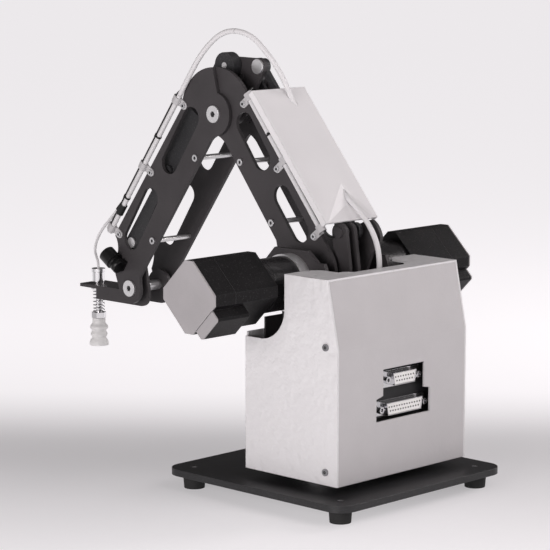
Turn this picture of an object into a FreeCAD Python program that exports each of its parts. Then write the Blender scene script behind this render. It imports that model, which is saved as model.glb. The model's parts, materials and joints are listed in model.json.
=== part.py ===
import FreeCAD, Part
import os, sys, math
from FreeCAD import Vector as V, Placement, Rotation
import Sketcher

# Desktop four-axis parallel-link robot arm with a suction tool.
# Frame: origin on the yaw axis at the underside of the feet, +X along the
# reach of the arm, +Y towards the arm's left side, +Z up.  Millimetres.
doc = FreeCAD.newDocument("desk_robot_arm")
sheet = doc.addObject("Spreadsheet::Sheet", "sizes")
SIZES = [
    ("plate_side", 180.0), ("plate_thick", 5.0), ("plate_corner", 14.0),
    ("foot_dia", 17.0), ("foot_tall", 10.5), ("foot_grid", 148.0),
    ("skin", 1.5), ("deck_z", 22.5), ("deck_thick", 4.0),
    ("house_wide", 140.0), ("house_back", 67.0), ("house_front", 24.0),
    ("house_low_z", 120.3), ("house_top_z", 169.6), ("house_top_back", 57.0), ("house_top_front", 15.2),
    ("shoulder_x", 12.0), ("shoulder_z", 157.5),
    ("upper_len", 149.5), ("upper_deg", 50.86), ("fore_len", 172.5), ("fore_deg", -56.25),
    ("arm_plate", 3.0), ("upper_face_y", 17.6), ("fore_face_y", 21.0),
    ("axle_dia", 8.0), ("axle_gap", 0.05), ("spacer_dia", 4.0),
    ("motor_side", 42.3), ("motor_diag", 52.0), ("motor_len", 41.7), ("motor_cap_len", 19.6),
    ("gear_dia", 39.4), ("gear_len", 32.0), ("ring_dia", 42.0), ("ring_len", 8.5),
    ("upright_y", 31.5), ("upright_thick", 3.5),
    ("anchor_dx", -25.5), ("anchor_dz", 36.0), ("front_dx", 2.0), ("front_dz", 36.0), ("crank_len", 30.0),
    ("link_tall", 5.5), ("pin_dia", 5.0), ("cup_stroke", 8.0), ("tool_reach", 61.0),
    ("tube_dia", 4.0), ("cable_dia", 1.8), ("thin_hose_dia", 2.2),
]
for i, (k, v) in enumerate(SIZES):
    sheet.set("A%d" % (i + 1), k)
    sheet.set("B%d" % (i + 1), repr(v))
    sheet.setAlias("B%d" % (i + 1), k)
doc.recompute()
P = {k: float(getattr(sheet, k)) for k, _ in SIZES}

NODES = []


def node(obj, label):
    obj.Label = label
    NODES.append(obj)
    return obj


def rad(a):
    return a * math.pi / 180.0


SX, SZ = P["shoulder_x"], P["shoulder_z"]
UA, FA = rad(P["upper_deg"]), rad(P["fore_deg"])
EX, EZ = SX + P["upper_len"] * math.cos(UA), SZ + P["upper_len"] * math.sin(UA)
WX, WZ = EX + P["fore_len"] * math.cos(FA), EZ + P["fore_len"] * math.sin(FA)


def arm_place(px, pz, ang, y):
    """Local x along the link, local y outward, local z towards -Y, from face y."""
    u = V(math.cos(ang), 0, math.sin(ang))
    n = V(-math.sin(ang), 0, math.cos(ang))
    w = V(0, -1, 0)
    m = FreeCAD.Matrix(u.x, n.x, w.x, px, u.y, n.y, w.y, y, u.z, n.z, w.z, pz, 0, 0, 0, 1)
    return Placement(m)


def upl(y):
    return arm_place(SX, SZ, UA, y)


def fpl(y):
    return arm_place(EX, EZ, FA, y)


def xz(y, px=0.0, pz=0.0):
    """Local x = X, local y = Z, local z = -Y."""
    return arm_place(px, pz, 0.0, y)


def plane(body, role):
    for f in body.Origin.OriginFeatures:
        if f.Role == role:
            return f
    raise RuntimeError(role)


def wire_pts(sk, pts):
    """pts: list of (x, y) or (x, y, bulge) where bulge shapes the edge that follows."""
    n = len(pts)
    for i in range(n):
        a = pts[i]
        b = pts[(i + 1) % n]
        p, q = V(a[0], a[1], 0), V(b[0], b[1], 0)
        bul = a[2] if len(a) > 2 else 0.0
        if abs(bul) < 1e-9:
            sk.addGeometry(Part.LineSegment(p, q), False)
        else:
            d = q - p
            m = (p + q) * 0.5
            nrm = V(d.y, -d.x, 0)
            mid = m + nrm * (bul * 0.5)
            sk.addGeometry(Part.Arc(p, mid, q), False)


def slot_pts(x1, y1, x2, y2, r):
    d = math.hypot(x2 - x1, y2 - y1)
    ux, uy = (x2 - x1) / d, (y2 - y1) / d
    nx, ny = -uy, ux
    return [(x1 - nx * r, y1 - ny * r), (x2 - nx * r, y2 - ny * r, 1.0), (x2 + nx * r, y2 + ny * r), (x1 + nx * r, y1 + ny * r, 1.0)]


def plate(label, outline, place, thick, slots=(), holes=(), chamfer=0.0):
    """A flat plate: a closed outline padded by a sheet size, with slots and round holes.
    holes: (x, y, alias or number) diameters."""
    body = doc.addObject("PartDesign::Body", label + "_body")
    sk = body.newObject("Sketcher::SketchObject", label + "_outline")
    sk.AttachmentSupport = [(plane(body, "XY_Plane"), "")]
    sk.MapMode = "FlatFace"
    wire_pts(sk, outline)
    for s in slots:
        wire_pts(sk, s)
    for hx, hy, hd in holes:
        dia = P[hd] if isinstance(hd, str) else hd
        gi = sk.addGeometry(Part.Circle(V(hx, hy, 0), V(0, 0, 1), dia / 2.0), False)
        ci = sk.addConstraint(Sketcher.Constraint("Diameter", gi, dia))
        if isinstance(hd, str):
            sk.setExpression("Constraints[%d]" % ci, "sizes.%s" % hd)
    pad = body.newObject("PartDesign::Pad", label + "_pad")
    pad.Profile = sk
    if isinstance(thick, str):
        pad.Length = P[thick]
        pad.setExpression("Length", "sizes.%s" % thick)
    else:
        pad.Length = thick
    doc.recompute()
    body.Placement = place
    return node(body, label)


def feature(label, shape, place=None):
    f = doc.addObject("Part::Feature", label)
    f.Shape = shape
    if place is not None:
        f.Placement = place
    return node(f, label)


def cyl(r, h, base, axis=V(0, 0, 1)):
    return Part.makeCylinder(r, h, base, axis)


def ycyl(r, x, z, y0, y1):
    """Cylinder about an axis along Y from y0 to y1."""
    return Part.makeCylinder(r, abs(y1 - y0), V(x, min(y0, y1), z), V(0, 1, 0))


def box(x0, x1, y0, y1, z0, z1):
    return Part.makeBox(x1 - x0, y1 - y0, z1 - z0, V(x0, y0, z0))


def poly_prism(pts, vec):
    w = Part.makePolygon([V(*p) for p in pts] + [V(*pts[0])])
    return Part.Face(w).extrude(V(*vec))


def arc_wire(pts):
    es = []
    n = len(pts)
    for i in range(n):
        a = pts[i]
        b = pts[(i + 1) % n]
        p, q = V(a[0], a[1], 0), V(b[0], b[1], 0)
        bul = a[2] if len(a) > 2 else 0.0
        if abs(bul) < 1e-9:
            es.append(Part.LineSegment(p, q).toShape())
        else:
            d = q - p
            mid = (p + q) * 0.5 + V(d.y, -d.x, 0) * (bul * 0.5)
            es.append(Part.Arc(p, mid, q).toShape())
    return Part.Wire(es)


def prism(pts, thick):
    return Part.Face(arc_wire(pts)).extrude(V(0, 0, thick))


def placed(shape, pl):
    s = shape.copy()
    s.Placement = pl.multiply(s.Placement)
    return s


def tube_route(pts, dia):
    """Round tube along straight runs joined by tangent arcs; prints the radii."""
    pts = [V(*p) for p in pts]
    edges = []
    radii = []
    cur = pts[0]
    total = 0.0
    for i in range(1, len(pts) - 1):
        a, b, c = pts[i - 1], pts[i], pts[i + 1]
        d1 = (b - a)
        d2 = (c - b)
        l1, l2 = d1.Length, d2.Length
        d1.normalize()
        d2.normalize()
        turn = math.acos(max(-1, min(1, d1.dot(d2))))
        t = 0.45 * min(l1, l2)
        r = t / math.tan(turn / 2.0)
        radii.append(round(r, 1))
        p, q = b - d1 * t, b + d2 * t
        if (p - cur).Length > 1e-6:
            edges.append(Part.LineSegment(cur, p).toShape())
        bis = (d2 - d1)
        bis.normalize()
        centre = b + bis * (r / math.cos(turn / 2.0))
        mid = centre - bis * r
        edges.append(Part.Arc(p, mid, q).toShape())
        cur = q
    edges.append(Part.LineSegment(cur, pts[-1]).toShape())
    w = Part.Wire(edges)
    t0 = pts[1] - pts[0]
    t0.normalize()
    prof = Part.Wire([Part.Circle(pts[0], t0, dia / 2.0).toShape()])
    s = w.makePipeShell([prof], True, False, 1)
    if s.ShapeType != "Solid":
        s = Part.Solid(s)
    if s.Volume < 0:
        s.reverse()
    want = math.pi * dia * dia / 4.0 * w.Length
    print("route length %.1f radii %s volume ratio %.4f" % (w.Length, radii, s.Volume / want))
    return s


def hull2(c1, r1, c2, r2):
    """Outline of two circles joined by outer tangents, anticlockwise."""
    dx, dy = c2[0] - c1[0], c2[1] - c1[1]
    d = math.hypot(dx, dy)
    base = math.atan2(dy, dx)
    a = math.acos((r1 - r2) / d)
    p = []
    q1 = (c1[0] + r1 * math.cos(base + a), c1[1] + r1 * math.sin(base + a))
    q2 = (c1[0] + r1 * math.cos(base - a), c1[1] + r1 * math.sin(base - a))
    q3 = (c2[0] + r2 * math.cos(base - a), c2[1] + r2 * math.sin(base - a))
    q4 = (c2[0] + r2 * math.cos(base + a), c2[1] + r2 * math.sin(base + a))
    b1 = math.tan((2 * math.pi - 2 * a) / 4.0)
    b2 = math.tan((2 * a) / 4.0)
    return [q1 + (b1,), q2 + (0,), q3 + (b2,), q4 + (0,)]


# ------------------------------------------------------------------ base
h = P["plate_side"] / 2.0
c = P["plate_corner"]
k = math.tan(rad(22.5))
g = P["foot_grid"] / 2.0
plate("base_plate",
      [(-h + c, -h), (h - c, -h, k), (h, -h + c), (h, h - c, k), (h - c, h), (-h + c, h, k), (-h, h - c), (-h, -h + c, k)],
      Placement(V(0, 0, P["foot_tall"]), Rotation()), "plate_thick",
      holes=[(sx * g, sy * g, 4.5) for sx in (-1, 1) for sy in (-1, 1)] + [(20, 0, 4.2), (-20, 0, 4.2), (0, 20, 4.2), (0, -20, 4.2)])
feet = []
screws = []
for sx in (-1, 1):
    for sy in (-1, 1):
        f = Part.makeCone(P["foot_dia"] / 2.0 - 0.8, P["foot_dia"] / 2.0, P["foot_tall"], V(sx * g, sy * g, 0))
        f = f.cut(cyl(4.0, 3.4, V(sx * g, sy * g, 0))).cut(cyl(2.25, 20, V(sx * g, sy * g, 0)))
        feet.append(f)
        sc = cyl(2.2, P["foot_tall"] + P["plate_thick"] - 3.6, V(sx * g, sy * g, 3.4)).fuse(cyl(3.6, 0.8, V(sx * g, sy * g, 2.6)))
        screws.append(sc.removeSplitter())
feature("rubber_feet", Part.makeCompound(feet))
ztop = P["foot_tall"] + P["plate_thick"]
dz = P["deck_z"]
# slewing ring: outer race on the base, inner race under the turning deck
feature("bearing_outer_race", cyl(45, 5.5, V(0, 0, ztop)).cut(cyl(38.4, 5.5, V(0, 0, ztop))).cut(cyl(41.0, 2.6, V(0, 0, ztop + 2.9))))
feature("bearing_inner_race", cyl(38, 6.6, V(0, 0, ztop + 0.4)).cut(cyl(30, 6.6, V(0, 0, ztop + 0.4))).fuse(cyl(40.6, 2.0, V(0, 0, dz - 3.4)).cut(cyl(30, 2.0, V(0, 0, dz - 3.4)))).fuse(cyl(38, 0.1, V(0, 0, dz - 0.1)).cut(cyl(30, 0.1, V(0, 0, dz - 0.1)))).removeSplitter())
feature("yaw_hub", cyl(25, 3.0, V(0, 0, ztop)).fuse(cyl(5.0, 14.0, V(0, 0, ztop))).cut(cyl(2.1, 3.0, V(20, 0, ztop))).cut(cyl(2.1, 3.0, V(-20, 0, ztop))).cut(cyl(2.1, 3.0, V(0, 20, ztop))).cut(cyl(2.1, 3.0, V(0, -20, ztop))).removeSplitter())
feature("base_screws", Part.makeCompound(screws + [cyl(2.0, 8.0, V(x, y, ztop - 5.0)).fuse(cyl(3.5, 2.2, V(x, y, ztop + 3.0))).removeSplitter() for x, y in ((20, 0), (-20, 0), (0, 20), (0, -20))]))

# ------------------------------------------------------------------ turret
hw = P["house_wide"] / 2.0
t = P["skin"]
xb, xf = -P["house_back"], P["house_front"]
zl, zt = P["house_low_z"], P["house_top_z"]
xtb, xtf = -P["house_top_back"], -P["house_top_front"]
deck = box(xb + t, xf - t, -hw + t, hw - t, dz, dz + P["deck_thick"]).cut(cyl(12.0, 10, V(0, 0, dz - 1)))
feature("turret_deck", deck)
# yaw motor on its gearbox stands on the deck, shaft down through it
ym = box(-21.15, 21.15, -21.15, 21.15, 60.5, 100.5)
for sx in (-1, 1):
    for sy in (-1, 1):
        ch = poly_prism([(sx * 21.15, sy * 17.2, 60), (sx * 17.2, sy * 21.15, 60), (sx * 22, sy * 22, 60)], (0, 0, 41))
        ym = ym.cut(ch)
feature("yaw_motor", ym)
feature("yaw_gearbox", cyl(19.7, 34.0, V(0, 0, dz + P["deck_thick"])).fuse(cyl(11.0, 4.0, V(0, 0, dz))).cut(cyl(5.05, 12.0, V(0, 0, dz - 0.5))).removeSplitter())

# side panels: one sheet each, with a front fold and a fold across the top

def side_panel(sgn):
    y0, y1 = (hw - t, hw) if sgn > 0 else (-hw, -hw + t)
    # concave quarter round between the low front and the tall rear
    pts = [(xb, dz, 0), (xf, dz, 0), (xf, zl, 0), (8.8, zl, -0.414), (xtf, zl + 24.0, 0), (xtf, zt, 0), (xtb, zt, 0), (xb, zl + 0.6, 0)]
    w = arc_wire(pts)
    f = Part.Face(w).extrude(V(0, 0, t))
    f = placed(f, xz(y1))
    front = box(xf - t, xf, (hw - 20.0) if sgn > 0 else -hw, hw if sgn > 0 else -(hw - 20.0), dz, zl)
    # the front fold stands a little taller than the low edge of the side
    front = front.fuse(box(xf - t, xf, (hw - 20.0) if sgn > 0 else -(hw - t), (hw - t) if sgn > 0 else -(hw - 20.0), zl - 1.0, zl + 3.2)).removeSplitter()
    yi = hw - 32.0
    # top fold, rounded off towards the middle at the rear corner of the opening
    fl = [(xtf, hw, 0), (xtf, hw - 21.0, -0.41), (xtf - 11.0, yi, 0), (xtb + 19.0, yi, -0.41), (xtb + 13.0, yi - 10.0, 0), (xtb + 13.0, 0.2, 0), (xtb, 0.2, 0), (xtb, hw, 0)]
    if sgn < 0:
        fl = [(a, -b, -c2) for a, b, c2 in fl]
    top = Part.Face(arc_wire(fl)).extrude(V(0, 0, t))
    top.translate(V(0, 0, zt - t))
    s = f.fuse(front).fuse(top).removeSplitter()
    return s


def panel_holes(s, sgn):
    for z in (121.7, 32.0):
        s = s.cut(ycyl(1.6, -56.0, z, sgn * (hw + 1), sgn * (hw - t - 1)))
    return s


lp = panel_holes(side_panel(1), 1)
rp = panel_holes(side_panel(-1), -1)
feature("left_side_panel", lp)
feature("right_side_panel", rp)
# rear cover: upright lower sheet and a leaning upper sheet, with the socket cut-out
rc = box(xb, xb + t, -hw + t, hw - t, dz, zl)
lean = poly_prism([(xb, -hw + t, zl), (xb + t, -hw + t, zl), (xtb + t, -hw + t, zt - t), (xtb, -hw + t, zt - t)], (0, 2 * (hw - t), 0))
rc = rc.fuse(lean)
for sgn in (-1, 1):
    rc = rc.fuse(box(xb + t, xb + 14.0, sgn * (hw - 2 * t) if sgn > 0 else -(hw - t), sgn * (hw - t) if sgn > 0 else -(hw - 2 * t), dz + 6.0, zl))
    rc = rc.fuse(box(xb + t + 1.6, xb + 14.0, (hw - 2 * t) if sgn > 0 else -(hw - t), (hw - t) if sgn > 0 else -(hw - 2 * t), zl - 1.0, zl + 6.7))
cut = poly_prism([(xb - 1, 21.8, 100.8), (xb - 1, -23.0, 100.8), (xb - 1, -23.0, 82.0), (xb - 1, -29.5, 80.9), (xb - 1, -29.5, 63.2), (xb - 1, 28.9, 63.2), (xb - 1, 28.9, 79.8), (xb - 1, 21.8, 81.6)], (4, 0, 0))
rc = rc.cut(cut)
for sgn in (-1, 1):
    for z in (121.7, 32.0):
        rc = rc.cut(ycyl(1.3, -56.0, z, sgn * (hw + 1), sgn * (hw - 2 * t - 1)))
feature("rear_cover", rc.removeSplitter())
ps = []
for sgn in (-1, 1):
    for z in (121.7, 32.0):
        ps.append(ycyl(1.25, -56.0, z, sgn * (hw + 0.0), sgn * (hw - 6)).fuse(ycyl(2.6, -56.0, z, sgn * (hw), sgn * (hw + 1.3))).removeSplitter())
feature("panel_screws", Part.makeCompound(ps))


SOCK_X = -59.6
shells, inserts = [], []


def dsub(yc, zc, n_top, wid_scr, shell_w, shell_h):
    """Female D connector facing -X, recessed behind the rear cover."""
    x0 = SOCK_X
    # flange plate with two jackscrews, a D-shaped shell and an insert with contact holes
    def dshape(w, hh, slope=0.176):
        a = w / 2.0
        b = w / 2.0 - hh * slope
        return [(0, -a, hh / 2.0), (0, a, hh / 2.0), (0, b, -hh / 2.0), (0, -b, -hh / 2.0)]
    fl = box(x0, x0 + 1.0, yc - wid_scr / 2.0 - 3.5, yc + wid_scr / 2.0 + 3.5, zc - 6.2, zc + 6.2)
    out = poly_prism([(x0 - 5.0, yc + p[1], zc + p[2]) for p in dshape(shell_w, shell_h)], (5.0, 0, 0))
    inn = poly_prism([(x0 - 6.0, yc + p[1], zc + p[2]) for p in dshape(shell_w - 1.0, shell_h - 1.0)], (8.0, 0, 0))
    shell = fl.fuse(out).cut(inn)
    for s_ in (-1, 1):
        shell = shell.cut(cyl(1.55, 4, V(x0 - 1, yc + s_ * wid_scr / 2.0, zc), V(1, 0, 0)))
    ins = poly_prism([(x0 - 4.6, yc + p[1], zc + p[2]) for p in dshape(shell_w - 1.2, shell_h - 1.2)], (11.0, 0, 0))
    p = 2.76
    for row, cnt, dzz in ((0, n_top, 1.42), (1, n_top - 1, -1.42)):
        for i in range(cnt):
            yy = yc + (i - (cnt - 1) / 2.0) * p
            ins = ins.cut(cyl(0.6, 6.0, V(x0 - 5.0, yy, zc + dzz), V(1, 0, 0)))
    shells.append(shell.removeSplitter())
    inserts.append(ins)
    return [(yc + s_ * wid_scr / 2.0, zc) for s_ in (-1, 1)]


js = dsub(-4.6, 70.1, 13, 47.04, 39.2, 9.2) + dsub(-4.5, 91.3, 8, 33.32, 25.2, 9.2)
feature("socket_shells", Part.makeCompound(shells))
feature("socket_inserts", Part.makeCompound(inserts))
jk = []
for y, z in js:
    hx = [(SOCK_X - 4.0, y + 2.7 * math.cos(rad(60 * i)), z + 2.7 * math.sin(rad(60 * i))) for i in range(6)]
    j = poly_prism(hx, (4.0, 0, 0)).fuse(cyl(1.5, 5.5, V(SOCK_X, y, z), V(1, 0, 0))).cut(cyl(1.3, 4.5, V(SOCK_X - 4.5, y, z), V(1, 0, 0)))
    jk.append(j.removeSplitter())
feature("socket_jackscrews", Part.makeCompound(jk))
# black carrier plate behind the cut-out
cx = SOCK_X + 1.0
car = box(cx, cx + 2.0, -42.0, 42.0, 50.0, 112.0)
for yc, zc, sw in ((-4.6, 70.1, 39.4), (-4.5, 91.3, 25.4)):
    car = car.cut(box(cx - 2, cx + 4, yc - sw / 2.0, yc + sw / 2.0, zc - 4.8, zc + 4.8))
for y, z in js:
    car = car.cut(cyl(1.55, 6, V(cx - 2, y, z), V(1, 0, 0)))
car = car.fuse(box(cx, -49.0, -42.0, 42.0, 112.0, 114.0)).fuse(box(cx, -47.0, -42.0, 42.0, 48.0, 50.0))
feature("socket_carrier", car.removeSplitter())

# ------------------------------------------------------------------ uprights and drives
uy, ut = P["upright_y"], P["upright_thick"]
ub = dz + P["deck_thick"]


def upright(sgn):
    pts = [(-26.0, ub), (21.0, ub), (21.0, 134.0), (38.2, 150.0), (38.2, 171.5), (28.6, 181.5), (-4.8, 181.5), (-14.5, 173.4), (-20.6, 173.4), (-26.0, 160.0)]
    s = prism([(a, b, 0) for a, b in pts], ut)
    s = placed(s, xz(uy + ut if sgn > 0 else -uy))
    s = s.cut(ycyl(12.5, SX, SZ, sgn * 20, sgn * 60))
    for a in (45, 135, 225, 315):
        s = s.cut(ycyl(1.7, SX + 17 * math.cos(rad(a)), SZ + 17 * math.sin(rad(a)), sgn * 20, sgn * 60))
    foot = box(-26.0, 21.0, uy + ut if sgn > 0 else -(uy + ut + 14), (uy + ut + 14) if sgn > 0 else -(uy + ut), ub, ub + 3.0)
    return s.fuse(foot).removeSplitter()


feature("uprights", Part.makeCompound([upright(1), upright(-1)]))
# two round bars and, across the front edges, one flat cross plate
feature("upright_tie_bars", Part.makeCompound([ycyl(4.0, x, z, -uy, uy) for x, z in ((-21.0, 118.0), (15.0, 112.0))] + [box(21.0, 22.5, -(hw - 18.0), hw - 18.0, 104.0, 132.4)]))


def mside():
    """Chamfered-corner square section standing on a corner, in the XZ plane."""
    a = P["motor_side"] / math.sqrt(2.0)
    d = P["motor_diag"] / 2.0
    q = a - d
    return [(d, -q), (d, q), (q, d), (-q, d), (-d, q), (-d, -q), (-q, -d), (q, -d)]


rings, gears, motors, caps, ends = [], [], [], [], []


def drive(sgn):
    y0 = sgn * (uy + ut)

    def seg(a, b):
        return (y0 + sgn * a, y0 + sgn * b)
    rl, gl, ml, cl = P["ring_len"], P["gear_len"], P["motor_len"], P["motor_cap_len"]
    a, b = seg(0, rl)
    ring = ycyl(P["ring_dia"] / 2.0, SX, SZ, a, b).cut(ycyl(12.5, SX, SZ, a, b))
    for q in (45, 135, 225, 315):
        ring = ring.cut(ycyl(1.6, SX + 17 * math.cos(rad(q)), SZ + 17 * math.sin(rad(q)), *seg(0, 6)))
    rings.append(ring)
    a, b = seg(rl, rl + gl)
    gb = ycyl(P["gear_dia"] / 2.0, SX, SZ, a, b)
    grv = ycyl(30, SX, SZ, *seg(rl + gl - 6.0, rl + gl - 5.6)).cut(ycyl(P["gear_dia"] / 2.0 - 0.5, SX, SZ, *seg(rl + gl - 6.0, rl + gl - 5.6)))
    gb = gb.cut(grv).cut(ycyl(5.5, SX, SZ, *seg(rl, rl + 12)))
    gears.append(gb)
    o = rl + gl
    sec = mside()

    def block(y_a, y_b, sc=1.0):
        lo = min(y_a, y_b)
        return poly_prism([(SX + p[0] * sc, lo, SZ + p[1] * sc) for p in sec], (0, abs(y_b - y_a), 0))
    motors.append(block(*seg(o, o + ml)))
    # rear housing with the raised plug box on its lower rear face
    cap = block(*seg(o + ml, o + ml + cl))
    e = P["motor_side"] / 2.0
    dirv = (-math.sqrt(0.5), -math.sqrt(0.5))
    tv = (math.sqrt(0.5), -math.sqrt(0.5))

    def pt(r_, w_):
        return (SX + dirv[0] * r_ + tv[0] * w_, SZ + dirv[1] * r_ + tv[1] * w_)
    lo = min(seg(o + ml - 11.0, o + ml + cl))
    ln = cl + 11.0
    bx = poly_prism([(pt(e, -11.4)[0], lo, pt(e, -11.4)[1]), (pt(e + 7.2, -11.4)[0], lo, pt(e + 7.2, -11.4)[1]),
                     (pt(e + 8.7, -9.9)[0], lo, pt(e + 8.7, -9.9)[1]), (pt(e + 8.7, 9.9)[0], lo, pt(e + 8.7, 9.9)[1]),
                     (pt(e + 7.2, 11.4)[0], lo, pt(e + 7.2, 11.4)[1]), (pt(e, 11.4)[0], lo, pt(e, 11.4)[1])], (0, ln, 0))
    caps.append(cap.fuse(bx).removeSplitter())
    endp = block(*seg(o + ml + cl, o + ml + cl + 1.2), sc=1.0)
    lo = min(seg(o + ml + cl, o + ml + cl + 1.2))
    plug = poly_prism([(pt(r_, w_)[0], lo, pt(r_, w_)[1]) for r_, w_ in ((e + 0.4, -11.4), (e + 7.2, -11.4), (e + 8.7, -9.9), (e + 8.7, 9.9), (e + 7.2, 11.4), (e + 0.4, 11.4))], (0, 1.2, 0))
    ends.extend([endp, plug])


drive(1)
drive(-1)
for nm, lst in (("drive_flanges", rings), ("drive_gearboxes", gears), ("motor_bodies", motors), ("motor_caps", caps), ("motor_end_plates", ends)):
    feature(nm, Part.makeCompound(lst))

# fixed anchor of the levelling linkage: two cheeks on a cross plate between the uprights
AX, AZ = SX + P["anchor_dx"], SZ + P["anchor_dz"]


def cheek(y1, th):
    pts = [(AX + 7.0, AZ, 1.0), (AX - 7.0, AZ, 0), (-24.0, 168.0, 0), (-24.0, 128.0, 0), (-8.5, 128.0, 0), (-8.5, 172.0, 0)]
    s = prism(pts, th)
    return placed(s, xz(y1))


anc = cheek(11.0, 3.0).fuse(cheek(2.0, 3.0)).fuse(box(-24.0, -8.5, -uy, uy, 124.0, 128.0))
# the pin is riveted into the cheeks and carries the rear link on its free end
anc = anc.fuse(ycyl(P["pin_dia"] / 2.0, AX, AZ, -8.6, 11.0)).fuse(ycyl(4.2, AX, AZ, 11.0, 12.6))
feature("anchor_bracket", anc.removeSplitter())
# hose fitting that stands behind the cross plate
HX, HY, HZ = -33.6, -9.0, 142.0
fit = cyl(4.5, HZ - 124.0, V(HX, HY, 124.0)).fuse(box(HX, -24.0, HY - 4.5, HY + 4.5, 124.0, 128.0)).fuse(cyl(5.4, 3.0, V(HX, HY, HZ - 5.0)))
feature("hose_fitting", fit.removeSplitter())

# ------------------------------------------------------------------ upper arm
UL = P["upper_len"]
al = P["arm_plate"]
A2 = P["axle_dia"] + 2 * P["axle_gap"]


def bulge(a0, a1):
    return math.tan((a1 - a0) / 4.0)


R1 = 35.3


def on(cx, cy, r, deg):
    return (cx + r * math.cos(rad(deg)), cy + r * math.sin(rad(deg)))


# outline runs anticlockwise in the local frame (x along the arm, y outward)
upper_out = [
    (24.0, -13.0, 0.12), (40.0, -8.6, 0), (122.0, -6.6, -0.2), on(UL, 0, 15.5, 232) + (bulge(rad(232), rad(360)),), on(UL, 0, 15.5, 0) + (0,),
    on(UL, 0, R1, 20) + (bulge(rad(20), rad(111)),), on(UL, 0, R1, 111) + (0,), (22.0, 32.0, 0), (2.0, 31.0, 0.35), (-21.0, 12.0, 0.3), (-20.0, -14.0, 0.45)]
upper_slots = [slot_pts(126.6, 19.2, 95.5, 17.4, 8.6), slot_pts(61.8, 17.0, 31.6, 16.2, 8.6)]
screws_u = [(106.6, -2.4), (52.7, -4.2)]
clips_u = [(138.2, 28.4), (80.2, 26.6), (20.2, 26.2)]
uh = [(UL, 0, A2)] + [(x, y, 3.0) for x, y in screws_u] + [(x, y, 2.6) for x, y in clips_u]
uf = P["upper_face_y"]
plate("upper_left_plate", upper_out, upl(uf), "arm_plate", slots=upper_slots, holes=uh + [(0, 0, 10.0), (0, 8, 3.0), (8, 0, 3.0), (0, -8, 3.0), (-8, 0, 3.0)])
# the right plate has a lobe that stands up behind the cover's lower edge
right_out = upper_out[:-4] + [(27.0, 32.2, 0), (17.5, 40.0, 0), (14.8, 50.0, 0), (12.5, 54.0, 0.15), (5.0, 55.4, 0.12), (-2.5, 53.4, 0.15), (-6.2, 47.0, 0), (-7.5, 38.0, 0), (-21.0, 12.0, 0.3), (-20.0, -14.0, 0.45)]
plate("upper_right_plate", right_out, upl(-uf + al), "arm_plate", slots=upper_slots, holes=[q for q in uh if q[2] != 2.6] + [(0, 0, 10.1)])


def ul(shape, y):
    return placed(shape, upl(y))


def fl_(shape, y):
    return placed(shape, fpl(y))


def lp_(x, y, ang, px, pz):
    return (px + x * math.cos(ang) - y * math.sin(ang), pz + x * math.sin(ang) + y * math.cos(ang))


def upt(x, y):
    return lp_(x, y, UA, SX, SZ)


def fpt(x, y):
    return lp_(x, y, FA, EX, EZ)


sp = []
for x, y in screws_u:
    a, b = upt(x, y)
    sp.append(ycyl(P["spacer_dia"] / 2.0, a, b, -uf + al, uf - al))
feature("upper_spacers", Part.makeCompound(sp))


def capscrew(a, b, y, sgn, r=2.6, hgt=1.5, shank=1.5, ln=6.0):
    s = ycyl(r, a, b, y, y + sgn * hgt).fuse(ycyl(shank, a, b, y - sgn * ln, y)).removeSplitter()
    return s.cut(ycyl(r * 0.45, a, b, y + sgn * hgt, y + sgn * (hgt - 0.9)))


upper_screws = ([capscrew(*upt(x, y), s_ * uf, s_, 2.7, 1.3, 1.5, al) for x, y in screws_u for s_ in (-1, 1)])
# left hub carries the arm on the left drive's output shaft
lh = ycyl(10.9, SX, SZ, uf, uf + 4.0).fuse(ycyl(5.0, SX, SZ, uf - al, uy + ut + P["ring_len"] + 11.5))
lh = lh.fuse(ycyl(8.0, SX, SZ, uf + 4.0, uy + ut + P["ring_len"]))
feature("left_arm_hub", lh.removeSplitter())

# white cover over the outer edge of the upper arm
cw = 27.8
u0, u1, nt, nb = 16.6, 135.3, 50.0, 45.0
cv = Part.makeBox(u1 - u0, nt - nb, 2 * cw, V(u0, nb, 0)).cut(Part.makeBox(u1 - u0 + 2, nt - nb - 1.5, 2 * cw - 3.0, V(u0 - 1, nb - 0.001, 1.5)))
# a shallow three-sided dimple at the lower end, where the hose comes out
DIM = [(u0 - 0.01, 25.6), (u0 - 0.01, -25.6), (49.0, -10.2), (33.0, -9.2)]


def tetra(drop):
    """Dimple as a tetrahedron: three corners on the skin and one deep point, lowered by drop."""
    c3 = [V(a, nt + 0.0 - drop, cw - b) for a, b in DIM[:3]]
    d3 = V(DIM[3][0], nt - 1.9 - drop, cw - DIM[3][1])
    up_ = [v + V(0, 0.0, 0) for v in c3]
    fs = [Part.Face(Part.makePolygon([up_[0], up_[1], up_[2], up_[0]]))]
    for i in range(3):
        q_ = [up_[i], up_[(i + 1) % 3], d3, up_[i]]
        fs.append(Part.Face(Part.makePolygon(q_)))
    so = Part.Solid(Part.Shell(fs))
    if so.Volume < 0:
        so.reverse()
    return so


inner = Part.makeBox(u1 - u0 + 2, nt - nb - 1.5, 2 * cw - 3.0, V(u0 - 1, nb - 0.001, 1.5)).cut(tetra(1.5))
cv = Part.makeBox(u1 - u0, nt - nb, 2 * cw, V(u0, nb, 0)).cut(inner).cut(tetra(0.0))
cover = ul(cv, cw)
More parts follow.
